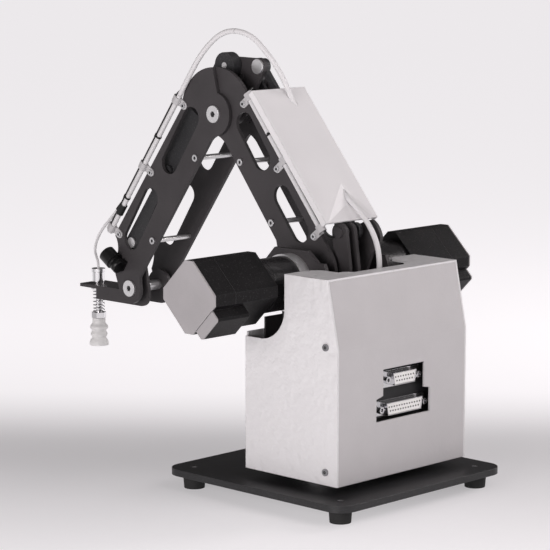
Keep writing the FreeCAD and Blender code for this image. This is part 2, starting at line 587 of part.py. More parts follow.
# two saddles inside carry the cover: an ear against each plate and a bar to each side wall
ye = cw - 1.5
for x in (60.0, 112.0):
    ear = Part.makeBox(7.0, 17.8, 2.0, V(x, 29.0, ye - uf + al)).fuse(Part.makeBox(7.0, 1.6, ye - uf + al + 2.5, V(x, 45.2, -0.5)))
    cover = cover.fuse(ul(ear, ye))
    # the right bar passes under the hose and turns up at the wall
    ear = Part.makeBox(7.0, 13.8, 2.0, V(x, 29.0, ye + uf - al - 2.0)).fuse(Part.makeBox(7.0, 1.6, ye - uf + al + 2.5, V(x, 41.2, ye + uf - al - 2.0)))
    ear = ear.fuse(Part.makeBox(7.0, 7.0, 2.0, V(x, 41.2, 2.0 * ye - 1.5)))
    cover = cover.fuse(ul(ear, ye))


# tube along the outer edge, held with the thin cable by strip clips
tdia = P["tube_dia"]


def make_clips(label, pts, pt_fn, ang, face, px, pz, nt_fn, ytube):
    """Strip clips: an ear screwed to the plate and a loop round the tube and the cable beside it."""
    out, scr = [], []
    for x, y in pts:
        n_t = nt_fn(x)
        zt_ = -(ytube - face)
        xr = FreeCAD.Placement(FreeCAD.Matrix(0, 0, 1, x - 3.0, 1, 0, 0, 0, 0, 1, 0, 0, 0, 0, 0, 1))
        r1, r2, gap = tdia / 2.0 + 0.85, P["cable_dia"] / 2.0 + 0.85, tdia / 2.0 + P["cable_dia"] / 2.0 + 0.05
        ring_o = placed(prism(hull2((n_t, zt_), r1, (n_t + gap, zt_), r2), 6.0), xr)
        ring_i = placed(prism(hull2((n_t, zt_), tdia / 2.0 + 0.12, (n_t + gap, zt_), P["cable_dia"] / 2.0 + 0.12), 6.0), xr)
        ear = Part.makeCylinder(3.0, 0.85, V(x, y, -0.85), V(0, 0, 1)).fuse(Part.makeBox(6.0, n_t - y - 1.5, 0.85, V(x - 3.0, y, -0.85)))
        body_ = ear.fuse(ring_o).cut(ring_i).cut(Part.makeCylinder(1.3, 3, V(x, y, -2), V(0, 0, 1)))
        out.append(placed(body_.removeSplitter(), arm_place(px, pz, ang, face)))
        a, b = pt_fn(x, y)
        scr.append(capscrew(a, b, face + 0.85, 1, 2.3, 1.4, 1.25, 3.0))
    feature(label + "_clips", Part.makeCompound(out))
    return scr


ytu = uf + 1.9
n_u = lambda x: 31.6 + (x - 22.0) * (33.0 - 31.6) / 114.0 + 2.9 + 1.2
upper_screws += make_clips("upper", clips_u, upt, UA, uf, SX, SZ, n_u, ytu)
feature("upper_screws", Part.makeCompound(upper_screws))
tb = Part.makeCylinder(tdia / 2.0, 123.7, V(17.8, n_u(17.8), 0), V(1, (n_u(141.5) - n_u(14.5)) / 127.0, 0))
feature("upper_tube", ul(tb, ytu))

# ------------------------------------------------------------------ forearm
FL = P["fore_len"]
ff = P["fore_face_y"]
# local frame here: x from elbow to wrist, y towards the front and up
ang_top = 88.0 - P["fore_deg"]           # head sector ends just past vertical
fore_out = [
    on(0, 0, 16.6, 205) + (bulge(rad(205), rad(312)),), on(0, 0, 16.6, 312) + (-0.22,), (22.0, -8.0, 0), (158.0, -4.0, -0.1), (164.0, -8.6, 0.1),
    on(FL, 0, 12.3, 250) + (bulge(rad(250), rad(395)),), on(FL, 0, 12.3, 35) + (0,), (173.6, 19.7, -0.15), (158.0, 26.5, -0.2), (148.6, 34.6, 0.4), (146.2, 37.0, 0),
    (17.2, 32.6, 0)]
a_st = math.degrees(math.atan2(30.8, 17.2))
fore_out[-1] = on(0, 0, R1, a_st) + (bulge(rad(a_st), rad(ang_top)),)
fore_out.append(on(0, 0, R1, ang_top) + (0,))
fore_out.append(on(0, 0, 16.6, ang_top + 14.0) + (bulge(rad(ang_top + 14.0), rad(205)),))
fore_slots = [slot_pts(17.5, 18.2, 61.0, 18.4, 8.6), slot_pts(97.5, 20.2, 138.4, 19.8, 8.4)]
screws_f = [(39.9, -2.6), (123.6, -0.2)]
clips_f = [(14.0, 29.2), (79.7, 30.4), (143.5, 32.4)]
fh = [(0, 0, P["axle_dia"]), (FL, 0, A2)] + [(x, y, 3.0) for x, y in screws_f]
plate("forearm_left_plate", fore_out, fpl(ff), "arm_plate", slots=fore_slots, holes=fh + [(x, y, 2.6) for x, y in clips_f])
plate("forearm_right_plate", fore_out, fpl(-ff + al), "arm_plate", slots=fore_slots, holes=fh)
feature("forearm_spacers", Part.makeCompound([ycyl(P["spacer_dia"] / 2.0, *fpt(x, y), -ff + al, ff - al) for x, y in screws_f]))
fore_screws = [capscrew(*fpt(x, y), s_ * ff, s_, 2.7, 1.3, 1.5, al) for x, y in screws_f for s_ in (-1, 1)]
ytf = ff + 1.9
n_f = lambda x: 32.4 + (x - 17.0) * (37.0 - 32.4) / 129.2 + 2.9 + 1.0
fore_screws += make_clips("forearm", clips_f, fpt, FA, ff, EX, EZ, n_f, ytf)
feature("forearm_screws", Part.makeCompound(fore_screws))
tb = Part.makeCylinder(tdia / 2.0, 139.0, V(9.0, n_f(9.0), 0), V(1, (n_f(148) - n_f(9)) / 139.0, 0))
feature("forearm_tube", fl_(tb, ytf))
# elbow axle turns with the forearm; its round heads show on both sides
ax = ycyl(P["axle_dia"] / 2.0, EX, EZ, -ff, ff)
for s_ in (-1, 1):
    hd_ = ycyl(6.5, EX, EZ, s_ * ff, s_ * (ff + 1.4))
    hx = poly_prism([(EX + 2.4 * math.cos(rad(60 * i)), min(s_ * (ff + 0.2), s_ * (ff + 1.6)), EZ + 2.4 * math.sin(rad(60 * i))) for i in range(6)], (0, 1.4, 0))
    ax = ax.fuse(hd_.cut(hx))
feature("elbow_axle", ax.removeSplitter())
# drive lever keyed to the axle, inside the upper arm
CL = P["crank_len"]
lev = prism([(-CL, 5.6, 1.0), (-CL, -5.6, 0), (0, -8.5, 1.0), (0, 8.5, 0)], 2.4)
lev = lev.cut(cyl(P["axle_dia"] / 2.0, 10, V(0, 0, -1)))
LX, LZ = fpt(-CL, 0)
feature("forearm_lever", fl_(lev, -11.9).fuse(ycyl(P["pin_dia"] / 2.0, LX, LZ, -14.3, -8.7)).removeSplitter())

# knurled adjuster of the air line, on the left face of the forearm near the wrist
kn = Part.makeCylinder(5.6, 5.5, V(161.0, 13.0, 0), V(0, 1, 0)).fuse(Part.makeCylinder(6.7, 10.5, V(161.0, 20.5, 0), V(0, 1, 0))).fuse(Part.makeCylinder(4.0, 3.5, V(161.0, 17.8, 0), V(0, 1, 0)))
foot_ = Part.makeBox(9.0, 5.0, 6.8, V(156.5, 13.2, 0))
feature("air_adjuster", fl_(kn.fuse(foot_).removeSplitter(), ff + 6.8))

# ------------------------------------------------------------------ level tie plate at the elbow
vrx, vrz = P["anchor_dx"], P["anchor_dz"]
vfx, vfz = P["front_dx"], P["front_dz"]


tp = prism(hull2((0, 0), 9.0, (vrx, vrz), 6.5), 3.0).fuse(prism(hull2((0, 0), 9.0, (vfx, vfz), 7.0), 3.0)).fuse(prism(hull2((vrx, vrz), 6.0, (vfx, vfz), 6.5), 3.0))
tp = placed(tp, xz(-1.2, EX, EZ)).fuse(ycyl(9.0, EX, EZ, -1.2, 1.4))
tp = tp.cut(ycyl(A2 / 2.0, EX, EZ, -20, 20)).cut(ycyl(P["pin_dia"] / 2.0, EX + vrx, EZ + vrz, -20, 20)).cut(ycyl(P["pin_dia"] / 2.0, EX + vfx, EZ + vfz, -20, 20))
feature("tie_plate", tp.removeSplitter())
tie_pins = [ycyl(P["pin_dia"] / 2.0, EX + vrx, EZ + vrz, -8.6, -1.2).fuse(ycyl(5.6, EX + vrx, EZ + vrz, -1.2, 0.6)).removeSplitter(), ycyl(P["pin_dia"] / 2.0, EX + vfx, EZ + vfz, -4.2, 8.0)]
feature("tie_plate_pins", Part.makeCompound(tie_pins))

# ------------------------------------------------------------------ links
PD2 = P["pin_dia"] / 2.0 + P["axle_gap"]
# rear link: turret anchor to tie plate, parallel to the upper arm
rl_ = prism([(0, 2.2, 0), (0, -2.2, 0), (UL, -2.2, 0), (UL, 2.2, 0)], 3.8).fuse(cyl(6.0, 3.8, V(0, 0, 0))).fuse(cyl(6.0, 3.8, V(UL, 0, 0)))
rl_ = rl_.cut(cyl(PD2, 6, V(0, 0, -1))).cut(cyl(PD2, 6, V(UL, 0, -1)))
feature("rear_link", placed(rl_.removeSplitter(), arm_place(AX, AZ, UA, -4.6)))
# front link: tie plate to wrist, parallel to the forearm, stout bar with a plate eye at the wrist
bar = Part.makeBox(80.0, 17.0, 8.5, V(46.0, -6.25, 0))
web = prism(hull2((0, 0), 9.0, (60.0, 2.0), 6.25), 4.0)
web.translate(V(0, 0, 4.5))
bar = bar.fuse(web)
top_eye = cyl(10.0, 8.8, V(0, 0, 4.5))
bar = bar.fuse(top_eye)
low = prism(hull2((100.0, 0), 4.0, (FL, 0), 6.9), 3.5)
low.translate(V(0, 0, -3.5))
bar = bar.fuse(low)
bar = bar.cut(cyl(PD2, 30, V(0, 0, -10))).cut(cyl(PD2, 30, V(FL, 0, -10)))
feature("front_link", placed(bar.removeSplitter(), arm_place(EX + vfx, EZ + vfz, FA, 12.5)))
# crank on the right drive, drive rod and its level pin
crank = prism([(-CL, 5.6, 1.0), (-CL, -5.6, 0), (0, -8.5, 1.0), (0, 8.5, 0)], 2.4)
crank = placed(crank, arm_place(SX, SZ, FA, -11.9))
crank = crank.cut(ycyl(PD2, SX - CL * math.cos(FA), SZ - CL * math.sin(FA), -30, 0))
crank = crank.fuse(ycyl(5.0, SX, SZ, -14.3, -(uy + ut + P["ring_len"] + 11.5)))
feature("drive_crank", crank.removeSplitter())
CX, CZ = SX - CL * math.cos(FA), SZ - CL * math.sin(FA)
feature("crank_pin", ycyl(P["pin_dia"] / 2.0, CX, CZ, -14.3, -8.7))
dr = prism([(0, 2.9, 0), (0, -2.9, 0), (UL, -2.9, 0), (UL, 2.9, 0)], 2.6).fuse(cyl(5.6, 2.6, V(0, 0, 0))).fuse(cyl(5.6, 2.6, V(UL, 0, 0)))
dr = dr.cut(cyl(PD2, 6, V(0, 0, -1))).cut(cyl(PD2, 6, V(UL, 0, -1)))
feature("drive_rod", placed(dr.removeSplitter(), arm_place(CX, CZ, UA, -8.9)))

# ------------------------------------------------------------------ wrist bracket and tool
TX = WX + P["tool_reach"]
wt = 2.6
z_b, z_p = WZ - 13.0, WZ - 5.5


def wall(sgn):
    y1 = 12.1 if sgn > 0 else -9.5
    if sgn > 0:
        pts = [(-12.0, 0, 0), (-12.0, -6.0, 0.41), (-3.0, -15.0, 0), (50.3, -15.0, 0), (50.3, -4.2, 0), (18.0, -4.2, -0.25), (9.0 + vfx - 2, 14.0, 0), (vfx + 6.9, vfz, 1.0), (vfx - 6.9, vfz, 0), (-9.0, 14.0, 0)]
    else:
        pts = [(-12.0, 0, 0), (-12.0, -6.0, 0.41), (-3.0, -15.0, 0), (50.3, -15.0, 0), (50.3, -4.2, 0), (18.0, -4.2, -0.2), (11.5, 3.0, 0.5), (-8.0, 10.0, 0.3)]
    return placed(prism(pts, wt), xz(y1, WX, WZ))


wb = wall(1).fuse(wall(-1)).fuse(box(WX + 14.0, WX + 45.0, -12.1, 12.1, WZ - 6.8, WZ - 4.2)).fuse(box(WX + 44.9, TX + 9.0, -12.1, 12.1, WZ - 6.8, WZ - 4.2))
wb = wb.cut(ycyl(P["axle_dia"] / 2.0, WX, WZ, -30, 30)).cut(ycyl(P["pin_dia"] / 2.0, WX + vfx, WZ + vfz, 5, 15)).cut(cyl(5.0, 12, V(TX, 0, WZ - 8)))
feature("wrist_bracket", wb.removeSplitter())
ax = ycyl(P["axle_dia"] / 2.0, WX, WZ, -ff, ff)
for s_ in (-1, 1):
    hd_ = ycyl(6.5, WX, WZ, s_ * (ff + 0.05), s_ * (ff + 1.4))
    hx = poly_prism([(WX + 2.4 * math.cos(rad(60 * i)), min(s_ * (ff + 0.2), s_ * (ff + 1.6)), WZ + 2.4 * math.sin(rad(60 * i))) for i in range(6)], (0, 1.4, 0))
    ax = ax.fuse(hd_.cut(hx)).fuse(ycyl(P["axle_dia"] / 2.0, WX, WZ, s_ * (ff - 1), s_ * (ff + 0.1)))
lbolt = ycyl(P["pin_dia"] / 2.0, WX + vfx, WZ + vfz, 9.5, 16.2).fuse(ycyl(4.2, WX + vfx, WZ + vfz, 16.2, 17.6)).removeSplitter()
feature("wrist_pins", Part.makeCompound([ax.removeSplitter(), lbolt]))
# guide bush fixed in the bracket; the stem slides up through it against the spring
zb_ = WZ - 6.8
bush = cyl(5.0, 14.1, V(TX, 0, zb_ - 2.6)).fuse(cyl(5.0, 2.6, V(TX, 0, zb_))).fuse(cyl(6.4, 2.4, V(TX, 0, zb_ - 2.4))).cut(cyl(2.55, 30, V(TX, 0, zb_ - 10)))
feature("stem_bush", bush.removeSplitter())
z_top = zb_ + 11.6
ztip = WZ - 55.6
zn = ztip + 22.4
stem = cyl(2.5, z_top + 2.8 - (zn + 0.2), V(TX, 0, zn + 0.2)).fuse(cyl(5.6, 2.8, V(TX, 0, z_top))).cut(cyl(1.2, 60, V(TX, 0, zn - 1)))
nut = poly_prism([(TX + 6.0 * math.cos(rad(60 * i)), 6.0 * math.sin(rad(60 * i)), zn + 0.2) for i in range(6)], (0, 0, 4.6)).cut(cyl(2.5, 10, V(TX, 0, zn - 1)))
feature("tool_stem", Part.makeCompound([stem.removeSplitter(), nut]))
# spring between the bush and the nut
zs0, zs1 = zn + 4.8, zb_ - 2.4
hx_ = Part.makeHelix((zs1 - zs0 - 1.1) / 5.0, zs1 - zs0 - 1.1, 4.4)
pr = Part.Wire([Part.Circle(V(4.4, 0, 0), V(0, 1, 0), 0.5).toShape()])
spr = Part.Wire(hx_.Edges).makePipeShell([pr], True, True)
spr.translate(V(TX, 0, zs0 + 0.55))
feature("stem_spring", spr)
# bellows suction cup, revolved
prof = [(1.2, 22.4), (5.4, 22.4), (5.4, 17.6), (7.4, 15.2), (7.6, 14.2), (5.6, 11.6), (7.0, 9.4), (7.1, 8.6), (5.5, 6.4), (7.8, 3.6), (7.9, 0.0),
        (7.1, 0.0), (6.9, 3.0), (4.4, 6.2), (6.0, 9.0), (4.4, 11.6), (6.3, 14.7), (4.0, 17.4), (1.2, 18.4)]
w = Part.makePolygon([V(TX + r, 0, ztip + z) for r, z in prof] + [V(TX + prof[0][0], 0, ztip + prof[0][1])])
cup = Part.Face(w).revolve(V(TX, 0, 0), V(0, 0, 1), 360)
feature("suction_cup", cup)

# ------------------------------------------------------------------ air hoses
def u3(x, n, y):
    a, b = upt(x, n)
    return (a, y, b)


def f3(x, n, y):
    a, b = fpt(x, n)
    return (a, y, b)


t_end = f3(9.0, n_f(9.0), ytf)
join = u3(106.0, 46.0, -11.0)
route_elbow = [f3(8.8, n_f(8.8), ytf), (129.6, 23.4, 302.4), (115.8, 22.0, 321.8), (97.5, 17.6, 337.3), (76.5, 12.0, 335.0), (62.0, 6.0, 318.5), u3(139.0, 58.3, -1.0), u3(121.5, 47.4, -9.8), u3(106.35, 46.03, -10.97)]
route_cover = [join, u3(82.0, 45.7, -11.5), u3(57.0, 46.0, -10.6), u3(44.0, 46.6, -9.6), u3(32.5, 50.0, -9.0), u3(19.0, 53.6, -8.8), u3(5.0, 54.3, -9.0), (-33.4, -9.2, 183.5), (-35.4, -9.2, 168.5), (HX, HY, 154.5), (HX, HY, HZ)]
feature("elbow_hose", tube_route(route_elbow, tdia))
feature("cover_hose", tube_route(route_cover, tdia))
# the cover's two hose holes follow the hose where it passes through the skin
cover = cover.cut(tube_route(route_elbow[4:8] + [u3(108.0, 46.0, -11.0)], tdia + 0.7)).cut(tube_route([u3(55.0, 46.0, -10.5)] + route_cover[3:8], tdia + 0.7))
feature("arm_cover", max(cover.Solids, key=lambda q_: q_.Volume))
# thin line to the cup: branches off the forearm tube at a small sleeve
hd = P["thin_hose_dia"]
W0, W1 = V(*f3(128.0, 44.9, 21.6)), V(*f3(139.5, 47.8, 20.9))
route_wrist = [tuple(W0), tuple(W1), (236.4, 18.6, 174.6), (246.6, 16.0, 164.2), (255.0, 11.0, 154.5), (261.6, 3.6, 148.0), (TX, 0.0, 142.6), (TX, 0.0, z_top + 2.8)]
feature("wrist_hose", tube_route(route_wrist, hd))
d_ = W0 - W1
d_.normalize()
sl = Part.makeCylinder(tdia / 2.0 + 1.0, 9.0, V(119.5, n_f(119.5), 0), V(1, 0.0356, 0)).cut(Part.makeCylinder(tdia / 2.0 + 0.01, 12.0, V(118.5, n_f(118.5), 0), V(1, 0.0356, 0)))
br = Part.makeCylinder(hd / 2.0 + 0.5, 8.0, W0, d_)
core = fl_(Part.makeCylinder(tdia / 2.0 + 0.01, 40.0, V(100.0, n_f(100.0), 0), V(1, 0.0356, 0)), ytf)
feature("hose_branch", fl_(sl, ytf).fuse(br.cut(core)).removeSplitter())

# ------------------------------------------------------------------ checks and export
doc.recompute()
bad = []
for o in doc.Objects:
    if "Invalid" in o.State or "Error" in o.State:
        bad.append((o.Name, o.State))
seen = set()
for o in NODES:
    s = o.Shape
    if s.isNull() or not s.isValid() or not s.Solids or o.Label in seen:
        bad.append((o.Label, "null" if s.isNull() else "valid=%s solids=%d" % (s.isValid(), len(s.Solids))))
    seen.add(o.Label)
if bad:
    print("BAD", bad)
    sys.exit(1)
os.makedirs("parts", exist_ok=True)
for o in NODES:
    s = o.Shape
    s.exportStep("parts/%s.step" % o.Label)
    print("%-24s solids %d volume %.1f" % (o.Label, len(s.Solids), s.Volume))
print(len(NODES), "nodes", "E", round(EX, 4), round(EZ, 4), "W", round(WX, 4), round(WZ, 4), "A", AX, AZ, "C", round(CX, 4), round(CZ, 4), "L", round(LX, 4), round(LZ, 4), "T", round(TX, 4))
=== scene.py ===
import bpy, bmesh, json, math
from mathutils import Vector, Matrix


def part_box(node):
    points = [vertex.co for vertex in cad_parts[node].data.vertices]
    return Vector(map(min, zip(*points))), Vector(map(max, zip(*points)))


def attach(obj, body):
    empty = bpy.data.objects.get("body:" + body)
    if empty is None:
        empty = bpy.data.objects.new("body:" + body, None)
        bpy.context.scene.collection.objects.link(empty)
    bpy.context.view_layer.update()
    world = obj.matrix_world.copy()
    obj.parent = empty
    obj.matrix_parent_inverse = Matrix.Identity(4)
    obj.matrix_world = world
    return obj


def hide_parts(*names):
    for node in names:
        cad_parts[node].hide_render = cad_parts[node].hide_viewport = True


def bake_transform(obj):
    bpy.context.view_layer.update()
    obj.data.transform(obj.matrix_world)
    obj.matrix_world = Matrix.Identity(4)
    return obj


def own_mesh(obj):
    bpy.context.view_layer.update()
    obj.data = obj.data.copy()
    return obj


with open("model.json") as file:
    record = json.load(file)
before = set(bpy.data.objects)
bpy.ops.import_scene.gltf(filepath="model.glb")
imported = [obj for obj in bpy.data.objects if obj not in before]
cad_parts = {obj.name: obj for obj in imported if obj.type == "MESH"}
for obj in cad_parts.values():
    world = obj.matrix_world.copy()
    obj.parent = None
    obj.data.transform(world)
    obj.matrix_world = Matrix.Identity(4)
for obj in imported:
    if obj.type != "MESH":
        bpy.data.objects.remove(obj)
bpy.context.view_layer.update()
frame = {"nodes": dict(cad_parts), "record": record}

N = frame["nodes"]
scene = bpy.context.scene
rad = math.radians

# ---------------------------------------------------------------- camera
cam = bpy.data.cameras.new("cam")
cam.lens, cam.sensor_width, cam.clip_end = 154.87, 36.0, 100.0
camo = bpy.data.objects.new("cam", cam)
scene.collection.objects.link(camo)
target = Vector((0.03194, 0.03114, 0.15974))
az, el, dist = rad(224.27), rad(8.60), 1.74266
back = Vector((math.sin(az) * math.cos(el), -math.cos(az) * math.cos(el), math.sin(el)))
camo.location = target + dist * back
camo.rotation_euler = back.to_track_quat("Z", "Y").to_euler()
scene.camera = camo
scene.view_settings.view_transform = "Standard"
scene.view_settings.look = "None"

# ---------------------------------------------------------------- arm frames (metres)
UA, FA = rad(50.86), rad(-56.25)


def u3(x, n, y):
    return Vector((0.012 + x * math.cos(UA) - n * math.sin(UA), y, 0.1575 + x * math.sin(UA) + n * math.cos(UA)))


def f3(x, n, y):
    return Vector((0.106367 + x * math.cos(FA) - n * math.sin(FA), y, 0.2734531 + x * math.sin(FA) + n * math.cos(FA)))


# ---------------------------------------------------------------- cords
def link(o):
    scene.collection.objects.link(o)
    return o


def spline_points(name, pts):
    """Points of the smooth NURBS line whose control points are pts."""
    cu = bpy.data.curves.new(name + "_line", "CURVE")
    cu.dimensions = "3D"
    sp = cu.splines.new("NURBS")
    sp.points.add(len(pts) - 1)
    for q, p in zip(sp.points, pts):
        q.co = (p[0], p[1], p[2], 1.0)
    sp.order_u = 3
    sp.use_endpoint_u = True
    sp.resolution_u = 14
    o = link(bpy.data.objects.new(name + "_line", cu))
    bpy.context.view_layer.update()
    dg = bpy.context.evaluated_depsgraph_get()
    me = bpy.data.meshes.new_from_object(o.evaluated_get(dg))
    out = [v.co.copy() for v in me.vertices]
    bpy.data.meshes.remove(me)
    bpy.data.objects.remove(o)
    bpy.data.curves.remove(cu)
    res = [out[0]]
    for p in out[1:]:
        if (p - res[-1]).length > 2e-5:
            res.append(p)
    return res


def rings_along(pts, r, n=20):
    """Rings of n points round a line, carried along it without twist."""
    t0 = (pts[1] - pts[0]).normalized()
    a = t0.orthogonal().normalized()
    rings = []
    for i, p in enumerate(pts):
        t = (pts[min(i + 1, len(pts) - 1)] - pts[max(i - 1, 0)]).normalized()
        a = (a - t * a.dot(t)).normalized()
        b = t.cross(a)
        rr = r[i] if isinstance(r, (list, tuple)) else r
        rings.append([p + rr * (math.cos(2 * math.pi * k / n) * a + math.sin(2 * math.pi * k / n) * b) for k in range(n)])
    return rings


def tube_mesh(name, rings):
    bm = bmesh.new()
    vs = [[bm.verts.new(p) for p in ring] for ring in rings]
    n = len(rings[0])
    for i in range(len(vs) - 1):
        for k in range(n):
            bm.faces.new((vs[i][k], vs[i][(k + 1) % n], vs[i + 1][(k + 1) % n], vs[i + 1][k]))
    bm.faces.new(list(reversed(vs[0])))
    bm.faces.new(vs[-1])
    bmesh.ops.recalc_face_normals(bm, faces=bm.faces)
    me = bpy.data.meshes.new(name)
    bm.to_mesh(me)
    bm.free()
    for f in me.polygons:
        f.use_smooth = len(f.vertices) == 4
    return link(bpy.data.objects.new(name, me))


mm = lambda *p: Vector(p) / 1000.0
ELBOW = [mm(141.3, 22.9, 286.0), mm(129.6, 23.4, 302.4), mm(115.8, 22.0, 321.8), mm(97.5, 17.6, 337.3), mm(76.5, 12.0, 335.0),
         mm(62.0, 6.0, 318.5), mm(54.5, -1.0, 302.1), mm(51.9, -9.8, 281.7), mm(43.2, -11.0, 268.8)]
COVER = [mm(43.2, -11.0, 268.8), mm(28.3, -11.5, 249.9), mm(12.3, -10.6, 230.7), mm(3.6, -9.6, 221.0), mm(-6.3, -9.0, 214.3),
         mm(-17.6, -8.8, 206.1), mm(-27.0, -9.0, 195.7), mm(-33.4, -9.2, 183.5), mm(-35.4, -9.2, 168.5), mm(-33.6, -9.0, 154.5), mm(-33.6, -9.0, 142.0)]
WRIST = [mm(214.8, 21.6, 192.0), mm(223.6, 20.9, 184.0), mm(236.4, 18.6, 174.6), mm(246.6, 16.0, 164.2), mm(255.0, 11.0, 154.5),
         mm(261.6, 3.6, 148.0), mm(263.2, 0.0, 142.6), mm(263.2, 0.0, 137.6)]

ep = spline_points("elbow", ELBOW)
er = rings_along(ep, 0.002)
k = max(range(len(ep)), key=lambda i: ep[i].z)
hose_a = tube_mesh("hose_over_elbow_front", er[:k + 1])
hose_b = tube_mesh("hose_over_elbow_rear", er[k:])
cp = spline_points("cover", COVER)
hose_c = tube_mesh("hose_cover_to_housing", rings_along(cp, 0.002))
wp = spline_points("wrist", WRIST)
hose_d = tube_mesh("hose_to_cup", rings_along(wp, 0.0011, 16))

# ---------------------------------------------------------------- materials
def mat(name, col, rough, metal=0.0, grain=2500.0, bump=0.25, depth=0.00006, var=0.06, rvar=0.06, spec=0.5, coat=0.0, coat_rough=0.15,
        peel=0.0, peel_scale=260.0, edge_highlight=None, edge_highlight_amt=0.6, bevel=0.0003, stretch=None, sub=0.0, speck=0.0, speck_col=None, trans=0.0, ior=1.45, dust=0.0):
    m = bpy.data.materials.new(name)
    m.use_nodes = True
    nt = m.node_tree
    L = nt.links.new
    bs = nt.nodes["Principled BSDF"]

    def nd(kind, **kw):
        x = nt.nodes.new(kind)
        for a, v in kw.items():
            setattr(x, a, v)
        return x

    tc = nd("ShaderNodeTexCoord")
    mp = nd("ShaderNodeMapping")
    mp.inputs["Scale"].default_value = stretch or (1, 1, 1)
    L(tc.outputs["Object"], mp.inputs["Vector"])
    fine = nd("ShaderNodeTexNoise")
    fine.inputs["Scale"].default_value = grain
    fine.inputs["Detail"].default_value = 4.0
    fine.inputs["Roughness"].default_value = 0.6
    L(mp.outputs["Vector"], fine.inputs["Vector"])
    broad = nd("ShaderNodeTexNoise")
    broad.inputs["Scale"].default_value = 38.0
    broad.inputs["Detail"].default_value = 3.0
    L(tc.outputs["Object"], broad.inputs["Vector"])
    mixf = nd("ShaderNodeMath", operation="MULTIPLY_ADD")
    L(fine.outputs["Fac"], mixf.inputs[0])
    mixf.inputs[1].default_value = 0.45
    half = nd("ShaderNodeMath", operation="MULTIPLY")
    L(broad.outputs["Fac"], half.inputs[0])
    half.inputs[1].default_value = 0.55
    L(half.outputs[0], mixf.inputs[2])
    cr = nd("ShaderNodeValToRGB")
    e = cr.color_ramp.elements
    e[0].position, e[1].position = 0.34, 0.66
    e[0].color = tuple(max(0, c * (1 - var)) for c in col) + (1,)
    e[1].color = tuple(min(1, c * (1 + var)) for c in col) + (1,)
    L(mixf.outputs[0], cr.inputs["Fac"])
    colour = cr.outputs["Color"]
    if speck:
        vo = nd("ShaderNodeTexNoise")
        vo.inputs["Scale"].default_value = grain * 0.7
        vo.inputs["Detail"].default_value = 1.0
        L(tc.outputs["Object"], vo.inputs["Vector"])
        sr = nd("ShaderNodeValToRGB")
        sr.color_ramp.elements[0].position = 0.62
        sr.color_ramp.elements[1].position = 0.70
        L(vo.outputs["Fac"], sr.inputs["Fac"])
        sm = nd("ShaderNodeMath", operation="MULTIPLY")
        L(sr.outputs["Color"], sm.inputs[0])
        sm.inputs[1].default_value = speck
        mx = nd("ShaderNodeMix", data_type="RGBA")
        L(sm.outputs[0], mx.inputs["Factor"])
        L(colour, mx.inputs["A"])
        mx.inputs["B"].default_value = tuple(speck_col or (1, 1, 1)) + (1,)
        colour = mx.outputs["Result"]
    bev = nd("ShaderNodeBevel", samples=4)
    bev.inputs["Radius"].default_value = bevel
    # painted highlight: the edge colour lightens the bevelled edges where the bevel normal turns away from the face
    # normal, scaled by broad noise
    if edge_highlight:
        geo = nd("ShaderNodeNewGeometry")
        dt = nd("ShaderNodeVectorMath", operation="DOT_PRODUCT")
        L(geo.outputs["Normal"], dt.inputs[0])
        L(bev.outputs["Normal"], dt.inputs[1])
        mr = nd("ShaderNodeMapRange")
        mr.inputs["From Min"].default_value, mr.inputs["From Max"].default_value = 0.985, 0.80
        mr.inputs["To Min"].default_value, mr.inputs["To Max"].default_value = 0.0, edge_highlight_amt
        L(dt.outputs["Value"], mr.inputs["Value"])
        mul = nd("ShaderNodeMath", operation="MULTIPLY")
        L(mr.outputs["Result"], mul.inputs[0])
        L(broad.outputs["Fac"], mul.inputs[1])
        mx = nd("ShaderNodeMix", data_type="RGBA")
        L(mul.outputs[0], mx.inputs["Factor"])
        L(colour, mx.inputs["A"])
        mx.inputs["B"].default_value = tuple(edge_highlight) + (1,)
        colour = mx.outputs["Result"]
    L(colour, bs.inputs["Base Color"])
    rr = nd("ShaderNodeMapRange")
    rr.inputs["From Min"].default_value, rr.inputs["From Max"].default_value = 0.3, 0.7
    rr.inputs["To Min"].default_value, rr.inputs["To Max"].default_value = max(0.02, rough - rvar), min(1, rough + rvar)
    L(mixf.outputs[0], rr.inputs["Value"])
    L(rr.outputs["Result"], bs.inputs["Roughness"])
    nrm = bev.outputs["Normal"]
    if peel:
        pn = nd("ShaderNodeTexNoise")
        pn.inputs["Scale"].default_value = peel_scale
        pn.inputs["Detail"].default_value = 2.0
        L(tc.outputs["Object"], pn.inputs["Vector"])
        pb = nd("ShaderNodeBump")
        pb.inputs["Strength"].default_value = peel
        pb.inputs["Distance"].default_value = 0.0006 if peel < .5 else 0.0013
        L(pn.outputs["Fac"], pb.inputs["Height"])
        L(nrm, pb.inputs["Normal"])
        nrm = pb.outputs["Normal"]
    bp = nd("ShaderNodeBump")
    bp.inputs["Strength"].default_value = bump
    bp.inputs["Distance"].default_value = depth
    L(fine.outputs["Fac"], bp.inputs["Height"])
    L(nrm, bp.inputs["Normal"])
    L(bp.outputs["Normal"], bs.inputs["Normal"])
    bs.inputs["Metallic"].default_value = metal
    bs.inputs["Specular IOR Level"].default_value = spec
    bs.inputs["Coat Weight"].default_value = coat
    bs.inputs["Coat Roughness"].default_value = coat_rough
    bs.inputs["IOR"].default_value = ior
    bs.inputs["Transmission Weight"].default_value = trans
    if sub:
        bs.inputs["Subsurface Weight"].default_value = sub
        bs.inputs["Subsurface Radius"].default_value = (0.004, 0.004, 0.004)
        bs.inputs["Subsurface Scale"].default_value = 1.0
    return m


